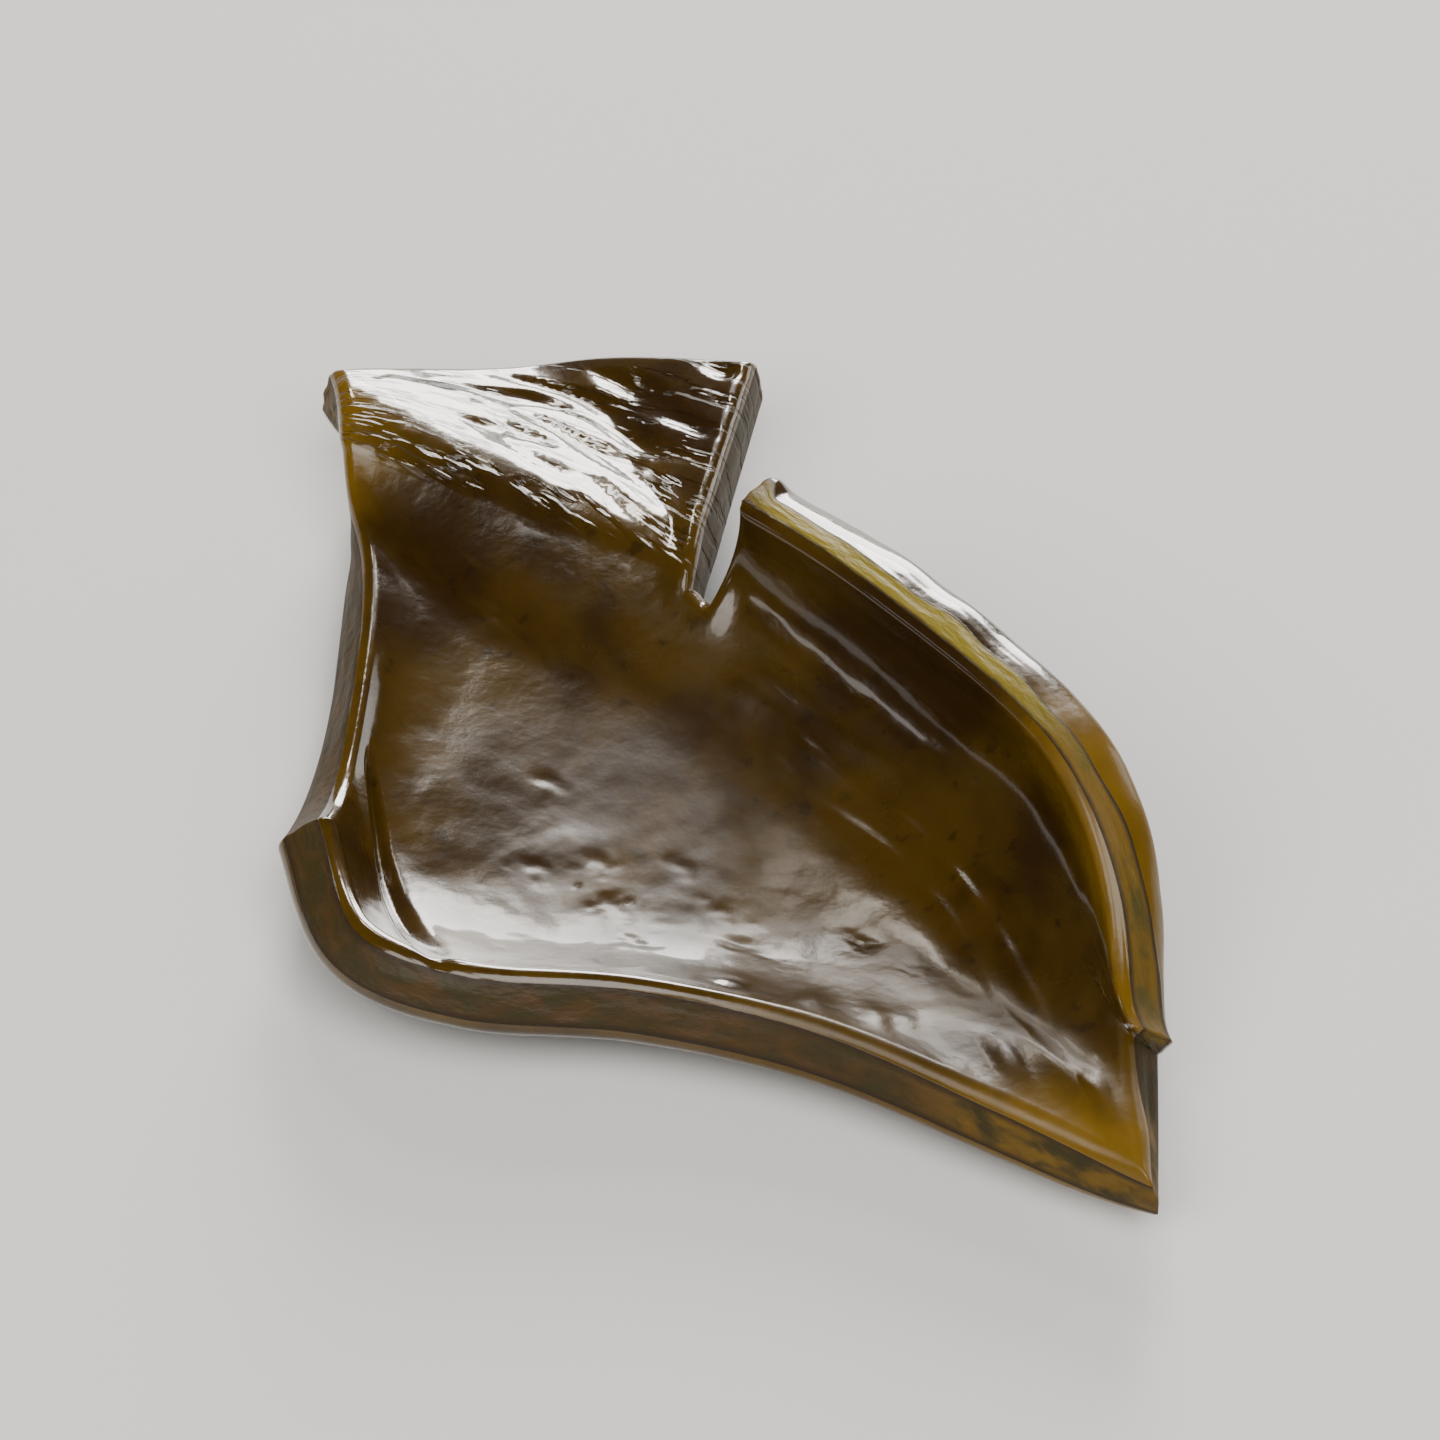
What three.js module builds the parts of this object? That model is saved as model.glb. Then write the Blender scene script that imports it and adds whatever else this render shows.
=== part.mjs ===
// A slice of cooked kelp: one wet, leathery sheet, cut on every side and curled like a small tray.
// Millimetres, +Z up. The slice lies on three low points of its belly at Z = 0, near cut edge towards -Y.
import * as THREE from "three";

// The sheet is described by two shares. "across" runs from the left cut edge (0) to the right cut edge (1).
// "along" runs from the near cut edge (0), over a crease, to the far cut edge (1). Beyond the crease a slit
// parts the sheet into a tongue that falls back on the left and a flap that curls up on the right.
const THICKNESS = 2.0;

// A smooth line in plan through a few points.
function planLine(points) {
  const places = points.map(([x, y]) => new THREE.Vector3(x, y, 0));
  return new THREE.CatmullRomCurve3(places, false, "catmullrom");
}

// Lines of the middle of the sheet in plan, each from its left end to its right end.
const NEAR_EDGE = planLine([
  [-11.2, -4.3],
  [-9.8, -8.7],
  [-6.5, -10.5],
  [-1.5, -10.9],
  [3.5, -12.2],
  [8.4, -14.7],
  [12.9, -17.2],
]);
const CREASE_LINE = planLine([
  [-10.4, 12.1],
  [-5.3, 9.1],
  [0.2, 5.9],
  [4.9, 1.2],
  [9.0, -3.8],
  [11.3, -8.6],
  [12.8, -12.2],
]);
const TONGUE_EDGE = planLine([
  [-11.2, 14.5],
  [-7.6, 16.0],
  [-3.0, 17.0],
  [2.6, 15.4],
]);
const LEFT_BOW = { depth: 0.6, fade: 3 }; // the left edge bends in, which fades with this power to the right

// Lips round the tray: how high each stands, and the share of the sheet, or the reach, that it bends.
const NEAR_LIP = { rise: 2.1, reach: 5.2, fade: 0.7 };
const LEFT_LIP = { rise: 1.05, width: 0.17, fade: 0.7, fadeFrom: 0.5 };
const RIGHT_LIP = { rise: 0.3, width: 0.2, from: 0.1 };
const CREST = { rise: 1.7, reach: 4.7 };
const CREST_SLOPE = (2 * CREST.rise) / CREST.reach;

// The tongue turns down just behind the crease, more gently at its left corner.
const TONGUE = { fall: 0.3, turn: 0.7, cornerTurn: 1.4, cornerFade: 4 };

// The tongue's corner by the slit curls up again, from a line that fans out from the slit's bottom.
const CURL = { rise: 4.6, start: 0.5, soft: 0.06, full: 0.25 };

// The flap is an arc that goes on from the crest's slope and ends past upright. Over the share "root" of its
// length it is a little less by the slit, and beyond the share "tail" it runs out towards its right end.
const FLAP = { length: 4.9, angle: THREE.MathUtils.degToRad(106), root: 0.25, tail: 0.5 };
const FLAP_ROOT_LOSS = { length: 0.12, angle: 0.1 };
const FLAP_TAIL_LOSS = { length: 0.9, angle: 0.55 };

// Cells of the sheet. The slit is one column of cells wide, from the crease to the far edge.
const COLUMNS = 48;
const ROWS = 32;
const SLIT_COLUMN = 16;
const CREASE_ROW = 22;
const SLIT = (SLIT_COLUMN + 0.5) / COLUMNS;
const CREASE = CREASE_ROW / ROWS;

// Shares over which slopes are taken, evened out along the sheet, so that no bend folds the underside.
const STEP_ACROSS = 1e-4;
const STEP_ALONG = 0.05;
const SLIT_SIDE = 1e-5; // how near the middle of the slit a slope may be taken

// The flat belly stays this far above the surface, and three soft swellings of it, round the weight of
// the slice, reach down to the surface. Each is named by its column and row, counted from the near left.
const BELLY_HEIGHT = 0.06;
const LOW_POINTS = [
  [10, 7],
  [34, 8],
  [18, 18],
];
const SWELLING_RADIUS = 2.6;

const { clamp, lerp, smoothstep } = THREE.MathUtils;

// Height of a lip, as a share, at a share x of the way towards its edge.
function bend(x, width) {
  return Math.max(0, (x - 1 + width) / width) ** 2;
}

// A point of the tray in plan, and how far the tray reaches square to the crease there.
function trayPoint(across, towardsCrease) {
  const near = NEAR_EDGE.getPoint(across);
  const crease = CREASE_LINE.getPoint(across);
  const plan = near.clone().lerp(crease, towardsCrease);
  plan.x += LEFT_BOW.depth * Math.sin(Math.PI * towardsCrease) * (1 - across) ** LEFT_BOW.fade;
  const reach = near.sub(crease).cross(CREASE_LINE.getTangent(across)).length();
  return { plan, reach };
}

// Height of the middle of the sheet over the belly, from all the lips together.
function trayHeight(across, towardsCrease, reach) {
  const nearRise = NEAR_LIP.rise * (1 - NEAR_LIP.fade * across ** 2);
  const near = nearRise * bend(1 - towardsCrease, NEAR_LIP.reach / reach);
  const leftFade = 1 - LEFT_LIP.fade * smoothstep(towardsCrease, LEFT_LIP.fadeFrom, 1);
  const left = LEFT_LIP.rise * leftFade * bend(1 - across, LEFT_LIP.width);
  const rightRise = RIGHT_LIP.rise * smoothstep(towardsCrease, RIGHT_LIP.from, 1);
  const right = rightRise * bend(across, RIGHT_LIP.width);
  const crest = CREST.rise * bend(towardsCrease, CREST.reach / reach);
  return Math.hypot(near, left, right, crest);
}

// Adds the tongue's reach and fall to a point of the crease.
function layTongue(point, share, pastCrease) {
  const edge = TONGUE_EDGE.getPoint(share);
  const reach = edge.sub(new THREE.Vector3(point.x, point.y, 0));
  const distance = pastCrease * reach.length();
  const turn = lerp(TONGUE.turn, TONGUE.cornerTurn, (1 - share) ** TONGUE.cornerFade);
  const turned = turn * (1 - Math.exp(-distance / turn));
  const intoCurl = share - 1 + CURL.start * pastCrease;
  const curl = (intoCurl + Math.hypot(intoCurl, CURL.soft)) / 2;
  point.x += reach.x * pastCrease;
  point.y += reach.y * pastCrease;
  point.z += (CREST_SLOPE + TONGUE.fall) * turned - TONGUE.fall * distance;
  point.z += CURL.rise * curl * smoothstep(pastCrease, 0, CURL.full);
}

// Adds the flap's arc to a point of the crease. The arc is shorter and lower towards the right end.
function raiseFlap(point, across, share, pastCrease) {
  const start = Math.atan(CREST_SLOPE);
  const root = 1 - smoothstep(share, 0, FLAP.root);
  const tail = smoothstep(share, FLAP.tail, 1);
  const end = FLAP.angle * (1 - FLAP_ROOT_LOSS.angle * root - FLAP_TAIL_LOSS.angle * tail);
  const length = FLAP.length * (1 - FLAP_ROOT_LOSS.length * root - FLAP_TAIL_LOSS.length * tail);
  const radius = length / (end - start);
  const angle = lerp(start, end, pastCrease);
  const tangent = CREASE_LINE.getTangent(across);
  const reach = radius * (Math.sin(angle) - Math.sin(start));
  point.x -= tangent.y * reach;
  point.y += tangent.x * reach;
  point.z += radius * (Math.cos(start) - Math.cos(angle));
}

// A point of the middle of the sheet.
function middle(across, along) {
  const towardsCrease = Math.min(along / CREASE, 1);
  const pastCrease = Math.max((along - CREASE) / (1 - CREASE), 0);
  const { plan, reach } = trayPoint(across, towardsCrease);
  const point = new THREE.Vector3(plan.x, plan.y, BELLY_HEIGHT + THICKNESS / 2);
  point.z += trayHeight(across, towardsCrease, reach);
  if (pastCrease > 0 && across < SLIT) {
    layTongue(point, across / SLIT, pastCrease);
  }
  if (pastCrease > 0 && across > SLIT) {
    raiseFlap(point, across, (across - SLIT) / (1 - SLIT), pastCrease);
  }
  return point;
}

// The sheet's own upward direction at a point, taken on one side of the slit only.
function upward(across, along) {
  const lowest = across > SLIT ? SLIT + SLIT_SIDE : 0;
  const highest = across < SLIT ? SLIT - SLIT_SIDE : 1;
  const left = clamp(across - STEP_ACROSS, lowest, highest);
  const right = clamp(across + STEP_ACROSS, lowest, highest);
  const near = clamp(along - STEP_ALONG, 0, 1);
  const far = clamp(along + STEP_ALONG, 0, 1);
  const sideways = middle(right, along).sub(middle(left, along));
  const forward = middle(across, far).sub(middle(across, near));
  return sideways.cross(forward).normalize();
}

// Triangles of the flat grid, without the slit's cells.
function gridTriangles(grid) {
  const corners = Array.from(grid.index.array);
  const uv = grid.attributes.uv;
  const triangles = [];
  for (let i = 0; i < corners.length; i += 3) {
    const triangle = corners.slice(i, i + 3);
    const across = triangle.reduce((sum, c) => sum + uv.getX(c), 0) / 3;
    const along = triangle.reduce((sum, c) => sum + uv.getY(c), 0) / 3;
    const inSlit = Math.floor(across * COLUMNS) === SLIT_COLUMN && along > CREASE;
    if (!inSlit) {
      triangles.push(triangle);
    }
  }
  return triangles;
}

// Closes the sheet: the upper face, the lower face with the same triangles turned over, and the cut
// walls along every edge that only one triangle has. Lower vertices follow the upper ones.
function closedIndex(triangles, vertexCount) {
  const edges = new Set();
  for (const [a, b, c] of triangles) {
    edges.add(`${a} ${b}`);
    edges.add(`${b} ${c}`);
    edges.add(`${c} ${a}`);
  }
  const index = [];
  for (const [a, b, c] of triangles) {
    index.push(a, b, c);
    index.push(a + vertexCount, c + vertexCount, b + vertexCount);
  }
  for (const edge of edges) {
    const [from, to] = edge.split(" ").map(Number);
    if (!edges.has(`${to} ${from}`)) {
      index.push(from, from + vertexCount, to);
      index.push(to, from + vertexCount, to + vertexCount);
    }
  }
  return index;
}

// Lowers the underside round each low point, where the point itself comes down to Z = 0.
function lowerSwellings(underside) {
  const vertexAt = ([column, row]) => underside[(ROWS - row) * (COLUMNS + 1) + column].clone();
  const centres = LOW_POINTS.map(vertexAt);
  for (const point of underside) {
    for (const centre of centres) {
      const distance = Math.hypot(point.x - centre.x, point.y - centre.y);
      const share = clamp(distance / SWELLING_RADIUS, 0, 1);
      point.z *= 1 - Math.cos((share * Math.PI) / 2) ** 2;
    }
  }
}

// The whole slice as one closed body, standing on Z = 0 with the origin under the middle of its box.
function sliceGeometry() {
  const grid = new THREE.PlaneGeometry(1, 1, COLUMNS, ROWS);
  const uv = grid.attributes.uv;
  const upper = [];
  const lower = [];
  for (let i = 0; i < uv.count; i++) {
    const point = middle(uv.getX(i), uv.getY(i));
    const half = upward(uv.getX(i), uv.getY(i)).multiplyScalar(THICKNESS / 2);
    upper.push(point.clone().add(half));
    lower.push(point.clone().sub(half));
  }
  lowerSwellings(lower);
  const geometry = new THREE.BufferGeometry().setFromPoints([...upper, ...lower]);
  geometry.setIndex(closedIndex(gridTriangles(grid), uv.count));
  geometry.computeBoundingBox();
  const centre = geometry.boundingBox.getCenter(new THREE.Vector3());
  geometry.translate(-centre.x, -centre.y, 0);
  geometry.computeVertexNormals();
  return geometry;
}

// Wet olive-brown kelp.
const kelp = new THREE.MeshStandardMaterial({ color: 0x4a3a12, roughness: 0.2, metalness: 0 });

const slice = new THREE.Mesh(sliceGeometry(), kelp);
slice.name = "kelp_slice";

const group = new THREE.Group();
group.add(slice);

export default group;
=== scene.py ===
"""A slice of cooked kelp on a pale floor: a wet olive-brown sheet, cut on every side and curled."""
import logging
import math
from dataclasses import dataclass
from enum import Enum

import bpy
import numpy as np
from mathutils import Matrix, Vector, noise


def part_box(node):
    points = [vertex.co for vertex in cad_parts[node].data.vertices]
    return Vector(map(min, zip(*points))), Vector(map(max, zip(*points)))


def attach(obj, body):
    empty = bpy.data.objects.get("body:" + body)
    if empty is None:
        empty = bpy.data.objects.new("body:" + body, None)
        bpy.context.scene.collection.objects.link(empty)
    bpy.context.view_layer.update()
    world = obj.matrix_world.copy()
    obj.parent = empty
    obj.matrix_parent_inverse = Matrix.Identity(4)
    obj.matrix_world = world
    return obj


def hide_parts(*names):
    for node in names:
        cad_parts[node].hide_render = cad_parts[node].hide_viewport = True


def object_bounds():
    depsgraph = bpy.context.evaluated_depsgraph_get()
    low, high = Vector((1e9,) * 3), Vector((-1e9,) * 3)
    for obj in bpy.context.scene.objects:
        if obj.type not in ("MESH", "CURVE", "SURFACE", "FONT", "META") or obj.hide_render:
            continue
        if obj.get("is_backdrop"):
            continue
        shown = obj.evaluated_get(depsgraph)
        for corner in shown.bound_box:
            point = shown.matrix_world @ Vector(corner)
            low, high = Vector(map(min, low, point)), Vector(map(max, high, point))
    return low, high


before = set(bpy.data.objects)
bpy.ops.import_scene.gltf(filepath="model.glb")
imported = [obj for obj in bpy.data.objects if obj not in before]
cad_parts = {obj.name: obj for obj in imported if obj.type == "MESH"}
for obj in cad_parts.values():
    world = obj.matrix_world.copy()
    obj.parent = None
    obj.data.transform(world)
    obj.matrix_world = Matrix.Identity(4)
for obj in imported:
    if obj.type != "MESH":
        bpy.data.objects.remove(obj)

LOG = logging.getLogger("kelp_slice")
MM = 0.001
NODE = "kelp_slice"
BODY = "root"
NOISE_SPREAD = 1.6       # brings Blender's own noise to about -1 to 1

Array = np.ndarray
Pair = tuple[float, float]
Triple = tuple[float, float, float]
Colour = tuple[float, float, float, float]


class Element(Enum):
    """What kind of mesh element is picked."""

    EDGE = "EDGE"
    FACE = "FACE"


class Operation(Enum):
    """What a Math node does."""

    ABSOLUTE = "ABSOLUTE"
    ADD = "ADD"
    MULTIPLY = "MULTIPLY"
    SUBTRACT = "SUBTRACT"


class Trait(Enum):
    """What the slice's mesh tells its finish about each point, by the name of the attribute."""

    # painted glow, for light shining through thin kelp
    PAINTED_GLOW = "amber"
    # where the flap's cut face gets painted light
    PAINTED_FLAP_LIGHT = "beyond"
    DEPTH = "depth"
    DULL = "dull"
    FLAP = "flap"
    SHEET = "sheet"
    TONGUE = "tongue"
    WET = "wet"


@dataclass(frozen=True)
class Ramp:
    """A smooth rise from 0 to 1.

    Args:
        start: Where it leaves 0.
        end: Where it reaches 1, which may lie below the start.
    """

    start: float
    end: float

    def at(self, x: Array) -> Array:
        """The rise at each value of x."""
        share = np.clip((x - self.start) / (self.end - self.start), 0.0, 1.0)
        return share * share * (3.0 - 2.0 * share)


@dataclass(frozen=True)
class Stripe:
    """A soft stripe, 1 along its middle.

    Args:
        middle: Where its middle lies.
        reach: How far it reaches to each side.
    """

    middle: float
    reach: float

    def at(self, x: Array) -> Array:
        """Strength of the stripe at each value of x."""
        return np.exp(-(((x - self.middle) / self.reach) ** 2))


@dataclass(frozen=True)
class Window:
    """A rise and the fall that follows it.

    Args:
        rise: The rise.
        fall: The fall, as a ramp whose start lies beyond its end.
    """

    rise: Ramp
    fall: Ramp

    def at(self, x: Array) -> Array:
        """Strength of the window at each value of x."""
        return self.rise.at(x) * self.fall.at(x)


@dataclass(frozen=True)
class Zone:
    """A part of the slice, where all the limits that it is given overlap."""

    across: Ramp | Stripe | Window | None = None
    towards: Ramp | Stripe | None = None
    past: Ramp | Stripe | None = None
    from_near: Ramp | Stripe | None = None
    from_crease: Ramp | Stripe | None = None

    def at(self, places: "SheetPlaces") -> Array:
        """How far each vertex lies in the zone.

        Args:
            places: The vertices' places.

        Returns:
            One share for each vertex.
        """
        limits = {name: limit for name, limit in vars(self).items() if limit is not None}
        return math.prod(limit.at(getattr(places, name)) for name, limit in limits.items())


@dataclass(frozen=True)
class Patch:
    """A soft oval patch, 1 in its middle.

    Args:
        middle: Where its middle lies, in two directions.
        reach: How far it reaches in each of them.
    """

    middle: Pair
    reach: Pair

    def at(self, x: Array, y: Array) -> Array:
        """Strength of the patch at each x and y."""
        off_x, off_y = (x - self.middle[0]) / self.reach[0], (y - self.middle[1]) / self.reach[1]
        return np.exp(-(off_x**2) - off_y**2)


@dataclass(frozen=True)
class Grain:
    """Smooth noise over the slice.

    Args:
        size: Width of one blotch in millimetres, as one number or one for each direction.
        seed: Where in the noise to look.
        height: How strong it is.
    """

    size: float | Triple
    seed: float
    height: float = 1.0

    def at(self, points: Array) -> Array:
        """The noise at points.

        Args:
            points: One (x, y, z) row in millimetres for each point.

        Returns:
            One value for each point, about minus the height to plus the height.
        """
        places = points / np.array(self.size) + self.seed
        values = np.array([noise.noise(Vector(place)) for place in places])
        return values * NOISE_SPREAD * self.height


def length(rows: Array) -> Array:
    """Length of each row."""
    return np.linalg.norm(rows, axis=-1)


def lip(share: Array, width: Array | float) -> Array:
    """Height of a lip of some width, as a share, at a share of the way towards its edge."""
    return np.maximum(0.0, (share - 1.0 + width) / width) ** 2


def turned(points: Array, angle: float) -> Array:
    """Points on axes that are turned about Z.

    Args:
        points: One row for each point, of two columns or three.
        angle: The turn of the axes, in radians.

    Returns:
        The rows, with new first and second columns.
    """
    cos, sin = math.cos(angle), math.sin(angle)
    x = points[:, 0] * cos + points[:, 1] * sin
    y = points[:, 1] * cos - points[:, 0] * sin
    return np.concatenate([np.stack([x, y], -1), points[:, 2:]], -1)


@dataclass(frozen=True)
class PlanLine:
    """A smooth line in plan through a few points.

    Args:
        points: The points in millimetres, from the left end to the right end.
        step: How far ahead and behind a direction is measured, as a share of the way.
    """

    points: tuple[Pair, ...]
    step: float = 1e-4

    def at(self, share: Array) -> Array:
        """Points of the line.

        Args:
            share: Shares of the way along the line.

        Returns:
            One (x, y) row for each share.
        """
        p = np.array(self.points)
        p = np.vstack([2 * p[0] - p[1], p, 2 * p[-1] - p[-2]])
        x = np.clip(share, 0.0, 1.0) * (len(p) - 3)
        i = np.minimum(x.astype(int), len(p) - 4)
        f = (x - i)[..., None]
        a, b, c, d = p[i], p[i + 1], p[i + 2], p[i + 3]
        cubic = (3 * b - a - 3 * c + d) * f**3 + (2 * a - 5 * b + 4 * c - d) * f**2
        return 0.5 * (2 * b + (c - a) * f + cubic)

    def tangent(self, share: Array) -> Array:
        """Directions of the line.

        Args:
            share: Shares of the way along the line.

        Returns:
            One unit (x, y) row for each share.
        """
        ahead = self.at(np.minimum(share + self.step, 1.0))
        behind = self.at(np.maximum(share - self.step, 0.0))
        return (ahead - behind) / length(ahead - behind)[..., None]


@dataclass(frozen=True)
class SheetForm:
    """The middle of the bent sheet, by the same shares and millimetres as the solid it stands for.

    Across runs from the left cut edge to the right one, and along from the near cut edge, over the
    crease, to the far one. Beyond the crease a slit parts the tongue on the left from the flap.
    """

    thickness: float = 2.0
    near_edge: PlanLine = PlanLine(
        (
            *((-11.2, -4.3), (-9.8, -8.7), (-6.5, -10.5), (-1.5, -10.9)),
            *((3.5, -12.2), (8.4, -14.7), (12.9, -17.2)),
        )
    )
    crease_line: PlanLine = PlanLine(
        (
            *((-10.4, 12.1), (-5.3, 9.1), (0.2, 5.9), (4.9, 1.2)),
            *((9.0, -3.8), (11.3, -8.6), (12.8, -12.2)),
        )
    )
    tongue_edge: PlanLine = PlanLine(((-11.2, 14.5), (-7.6, 16.0), (-3.0, 17.0), (2.6, 15.4)))
    slit: Pair = (16 / 48, 17 / 48)
    crease: float = 22 / 32

    # The tray: its bowed left edge, and how far its lips rise, reach and fade.
    left_bow: float = 0.6
    bow_power: int = 3
    near_rise: float = 2.1
    near_reach: float = 5.2
    near_fade: float = 0.7
    left_rise: float = 1.05
    left_width: float = 0.17
    left_fade: float = 0.7
    left_fading: Ramp = Ramp(0.5, 1.0)
    right_rise: float = 0.3
    right_width: float = 0.2
    right_growing: Ramp = Ramp(0.1, 1.0)
    crest_rise: float = 1.7
    crest_reach: float = 4.7

    # The tongue: how it falls and turns beyond the crease, and how its right corner curls up.
    tongue_fall: float = 0.3
    tongue_turn: float = 0.7
    corner_turn: float = 1.4
    corner_power: int = 4
    tongue_curl: float = 4.6
    curl_start: float = 0.5
    curl_soft: float = 0.06
    curl_growing: Ramp = Ramp(0.0, 0.25)

    # The flap: its arc, and the shares of length and of angle that its root and its tail lose.
    flap_length: float = 4.9
    flap_angle: float = math.radians(106)
    flap_root: Ramp = Ramp(0.0, 0.25)
    flap_tail: Ramp = Ramp(0.5, 1.0)
    root_loss: Pair = (0.12, 0.1)
    tail_loss: Pair = (0.9, 0.55)

    # The belly, and the shares across and along of the three points that it stands on.
    belly_height: float = 0.06
    low_points: tuple[Pair, ...] = ((10 / 48, 7 / 32), (34 / 48, 8 / 32), (18 / 48, 18 / 32))
    swelling_radius: float = 2.6

    # How far apart slopes are measured, and how close to the slit.
    side_step: float = 1e-4
    forward_step: float = 0.05
    slit_step: float = 1e-5

    @property
    def slit_middle(self) -> float:
        """The slit's middle, as a share across."""
        return sum(self.slit) / 2

    @property
    def crest_slope(self) -> float:
        """How steeply the tray meets the crease."""
        return 2 * self.crest_rise / self.crest_reach

    def parts(self, along: Array) -> tuple[Array, Array]:
        """Shares of the way from the near edge to the crease, and from there to the far edge."""
        past = np.maximum((along - self.crease) / (1 - self.crease), 0.0)
        return np.minimum(along / self.crease, 1.0), past

    def span(self, across: Array) -> tuple[Array, Array, Array]:
        """The two ends of the tray.

        Args:
            across: Shares from the left edge to the right edge.

        Returns:
            Points of the near edge, points of the crease, and the width of the tray between them,
            square to the crease.
        """
        near, crease = self.near_edge.at(across), self.crease_line.at(across)
        gap, tangent = near - crease, self.crease_line.tangent(across)
        return near, crease, np.abs(gap[..., 0] * tangent[..., 1] - gap[..., 1] * tangent[..., 0])

    def tray_height(self, across: Array, towards: Array, reach: Array) -> Array:
        """Height of the sheet's middle over the belly, from all the lips together.

        Args:
            across: Shares from the left edge to the right edge.
            towards: Shares of the way to the crease.
            reach: Width of the tray there, in millimetres.

        Returns:
            One height in millimetres for each point.
        """
        near = self.near_rise * (1 - self.near_fade * across**2)
        near = near * lip(1 - towards, self.near_reach / reach)
        left_fade = 1 - self.left_fade * self.left_fading.at(towards)
        left = self.left_rise * left_fade * lip(1 - across, self.left_width)
        right = self.right_rise * lip(across, self.right_width) * self.right_growing.at(towards)
        crest = self.crest_rise * lip(towards, self.crest_reach / reach)
        return np.sqrt(near**2 + left**2 + right**2 + crest**2)

    def tongue_offset(self, crease: Array, share: Array, past: Array) -> Array:
        """What the tongue adds to the points of the crease.

        Args:
            crease: The points of the crease.
            share: Shares of the way across the tongue.
            past: Shares of the way from the crease to the far edge.

        Returns:
            One (x, y, z) row in millimetres for each point.
        """
        reach = self.tongue_edge.at(share) - crease
        distance = past * length(reach)
        corner = (1 - share) ** self.corner_power
        turn = self.tongue_turn + (self.corner_turn - self.tongue_turn) * corner
        turned_by = turn * (1 - np.exp(-distance / turn))
        into_curl = share - 1 + self.curl_start * past
        curl = (into_curl + np.hypot(into_curl, self.curl_soft)) / 2
        height = (self.crest_slope + self.tongue_fall) * turned_by - self.tongue_fall * distance
        height = height + self.tongue_curl * curl * self.curl_growing.at(past)
        return np.concatenate([reach * past[..., None], height[..., None]], -1)

    def flap_offset(self, across: Array, share: Array, past: Array) -> Array:
        """What the flap's arc adds to the points of the crease.

        Args:
            across: Shares from the left edge to the right edge.
            share: Shares of the way across the flap.
            past: Shares of the way from the crease to the far edge.

        Returns:
            One (x, y, z) row in millimetres for each point.
        """
        start = math.atan(self.crest_slope)
        root, tail = 1 - self.flap_root.at(share), self.flap_tail.at(share)
        arc = self.flap_length * (1 - self.root_loss[0] * root - self.tail_loss[0] * tail)
        end = self.flap_angle * (1 - self.root_loss[1] * root - self.tail_loss[1] * tail)
        radius = arc / (end - start)
        angle = start + (end - start) * past
        tangent = self.crease_line.tangent(across)
        out = np.stack([-tangent[..., 1], tangent[..., 0]], -1)
        reach = radius * (np.sin(angle) - math.sin(start))
        height = radius * (math.cos(start) - np.cos(angle))
        return np.concatenate([out * reach[..., None], height[..., None]], -1)

    def middle(self, across: Array, along: Array) -> Array:
        """Points of the middle of the sheet.

        Args:
            across: Shares from the left edge to the right edge.
            along: Shares from the near edge to the far edge.

        Returns:
            One (x, y, z) row for each pair of shares, in millimetres.
        """
        towards, past = self.parts(along)
        near, crease, reach = self.span(across)
        plan = near + (crease - near) * towards[..., None]
        bow = self.left_bow * np.sin(np.pi * towards)
        plan[..., 0] += bow * (1 - across) ** self.bow_power
        height = self.belly_height + self.thickness / 2 + self.tray_height(across, towards, reach)
        point = np.concatenate([plan, height[..., None]], -1)
        middle = self.slit_middle
        tongue = self.tongue_offset(crease, across / middle, past)
        flap = self.flap_offset(across, (across - middle) / (1 - middle), past)
        beyond = (past > 0)[..., None]
        left = (across < middle)[..., None]
        return point + np.where(beyond, np.where(left, tongue, flap), 0.0)

    def slopes(self, across: Array, along: Array) -> tuple[Array, Array]:
        """How the middle of the sheet moves, measured on one side of the slit only.

        Args:
            across: Shares from the left edge to the right edge.
            along: Shares from the near edge to the far edge.

        Returns:
            Millimetres moved for each share across, and for each share along, in rows.
        """
        middle = self.slit_middle
        left = across < middle
        lowest = np.where(left, 0.0, middle + self.slit_step)
        highest = np.where(left, middle - self.slit_step, 1.0)
        u0 = np.clip(across - self.side_step, lowest, highest)
        u1 = np.clip(across + self.side_step, lowest, highest)
        v0 = np.clip(along - self.forward_step, 0.0, 1.0)
        v1 = np.clip(along + self.forward_step, 0.0, 1.0)
        sideways = (self.middle(u1, along) - self.middle(u0, along)) / (u1 - u0)[..., None]
        forward = (self.middle(across, v1) - self.middle(across, v0)) / (v1 - v0)[..., None]
        return sideways, forward

    def upward(self, across: Array, along: Array) -> Array:
        """The sheet's own unit upward directions, at pairs of shares across and along."""
        up = np.cross(*self.slopes(across, along))
        return up / length(up)[..., None]


@dataclass(frozen=True)
class SheetPlaces:
    """Where the vertices of the fine mesh belong on the sheet, with one value or row for each."""

    across: Array        # share from the left cut edge to the right one
    along: Array         # share from the near cut edge to the far one
    towards: Array       # share from the near edge to the crease
    past: Array          # share from the crease to the far edge
    depth: Array         # -1 on the lower face to 1 on the upper one
    rim: Array           # millimetres from the nearest cut edge
    far: Array           # millimetres from the far cut edge
    from_near: Array     # millimetres from the near cut edge
    from_crease: Array   # millimetres from the crease, below 0 on the tray
    tongue: Array        # 1 on the tongue
    flap: Array          # 1 from the slit to the right edge
    flat: Array          # millimetres on the sheet when it is laid flat


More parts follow.
